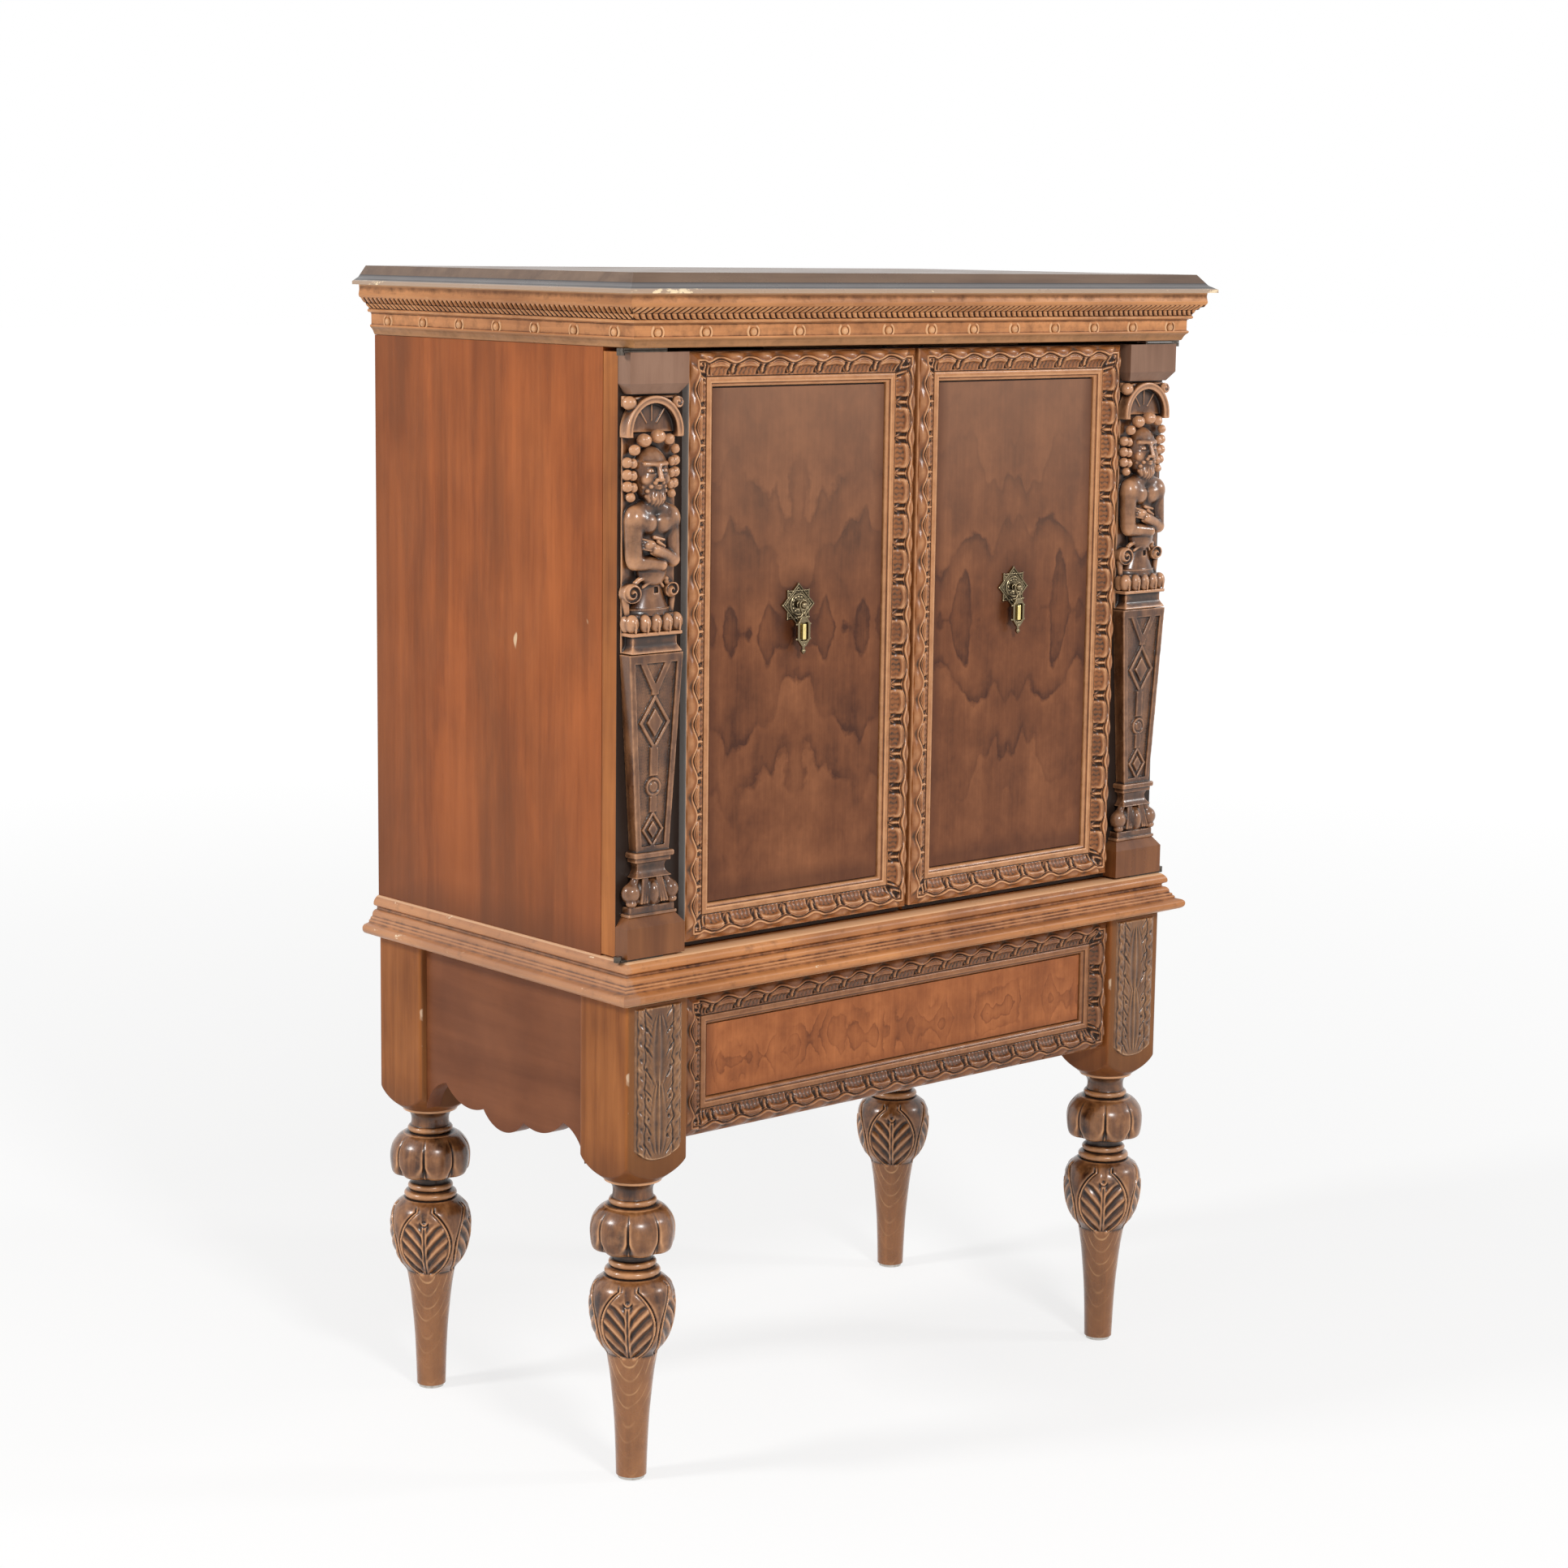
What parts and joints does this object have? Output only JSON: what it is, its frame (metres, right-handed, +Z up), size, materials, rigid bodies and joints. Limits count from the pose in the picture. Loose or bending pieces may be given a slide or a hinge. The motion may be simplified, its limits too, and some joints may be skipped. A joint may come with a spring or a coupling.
{
  "type": "cabinet on stand",
  "caption": "Carved cupboard with paired doors, figured herm pilasters and swinging drop handles, raised on a stand with turned bulbous legs.",
  "frame": {"origin": "on the floor, under the centre of the whole outline", "axes": "+X to the right as seen from the front, +Y to the back, +Z up"},
  "size_m": [0.914, 0.5202, 1.35],
  "materials": {
    "leg_wood": "dark walnut polish, worn to orange on the high points",
    "glide_steel": "nail-on furniture glide",
    "apron_veneer": "red-brown walnut veneer, satin",
    "inner_wood": "plain secondary wood, dull",
    "panel_veneer": "figured crotch walnut veneer, satin",
    "carved_moulding": "lighter moulding with dark stain in the recesses",
    "carved_wood": "dark carved wood, glossy on the high points",
    "cornice_wood": "walnut mouldings, satin",
    "case_veneer": "walnut veneer with an upright grain, satin",
    "top_wood": "dark grey-brown, worn along the lip",
    "handle_brass": "antique brass, dark in the recesses",
    "hinge_steel": "nickel-plated, tarnished",
    "catch_steel": "ball catch"
  },
  "bodies": {
    "cabinet": {"front_left_leg": "leg_wood", "front_right_leg": "leg_wood", "back_left_leg": "leg_wood", "back_right_leg": "leg_wood", "glides": "glide_steel", "left_apron": "apron_veneer", "right_apron": "apron_veneer", "back_apron": "inner_wood", "front_apron": "inner_wood", "apron_panel": "panel_veneer", "apron_moulding": "carved_moulding", "left_post_leaf": "carved_wood", "right_post_leaf": "carved_wood", "corner_blocks": "inner_wood", "waist_moulding_front": "cornice_wood", "waist_moulding_left": "cornice_wood", "waist_moulding_right": "cornice_wood", "waist_back_rail": "inner_wood", "case_left_side": "case_veneer", "case_right_side": "case_veneer", "case_bottom": "inner_wood", "case_back": "inner_wood", "case_top": "inner_wood", "shelf": "inner_wood", "shelf_cleats": "inner_wood", "door_stop": "inner_wood", "frieze_front": "cornice_wood", "frieze_left": "cornice_wood", "frieze_right": "cornice_wood", "crown_front": "cornice_wood", "crown_left": "cornice_wood", "crown_right": "cornice_wood", "top_board": "top_wood", "frieze_buttons": "carved_wood", "left_case_hinge_leaves": "hinge_steel", "right_case_hinge_leaves": "hinge_steel", "hinge_pins": "hinge_steel", "catch_strikes": "hinge_steel"},
    "left_door_leaf": {"left_door": "case_veneer", "left_door_panel": "panel_veneer", "left_door_moulding": "carved_moulding", "left_cap_block": "case_veneer", "left_base_block": "case_veneer", "left_herm": "carved_wood", "left_handle_plate": "handle_brass", "left_handle_post": "handle_brass", "left_door_hinge_leaves": "hinge_steel", "left_catch": "catch_steel"},
    "right_door_leaf": {"right_door": "case_veneer", "right_door_panel": "panel_veneer", "right_door_moulding": "carved_moulding", "right_cap_block": "case_veneer", "right_base_block": "case_veneer", "right_herm": "carved_wood", "right_handle_plate": "handle_brass", "right_handle_post": "handle_brass", "right_door_hinge_leaves": "hinge_steel", "right_catch": "catch_steel"},
    "left_drop": {"left_pull": "handle_brass"},
    "right_drop": {"right_pull": "handle_brass"}
  },
  "joints": [
    {"name": "left_door_hinge", "type": "hinge", "parent": "cabinet", "child": "left_door_leaf", "pos_m": [-0.433, -0.21415, 0.93825], "axis": [0, 0, -1], "range_deg": [0, 170]},
    {"name": "right_door_hinge", "type": "hinge", "parent": "cabinet", "child": "right_door_leaf", "pos_m": [0.433, -0.21415, 0.93825], "axis": [0, 0, 1], "range_deg": [0, 170]},
    {"name": "left_pull_swing", "type": "hinge", "parent": "left_door_leaf", "child": "left_drop", "pos_m": [-0.1704, -0.21455, 0.982], "axis": [-1, 0, 0], "range_deg": [-5, 55]},
    {"name": "right_pull_swing", "type": "hinge", "parent": "right_door_leaf", "child": "right_drop", "pos_m": [0.1704, -0.21455, 0.982], "axis": [-1, 0, 0], "range_deg": [-5, 55]}
  ]
}
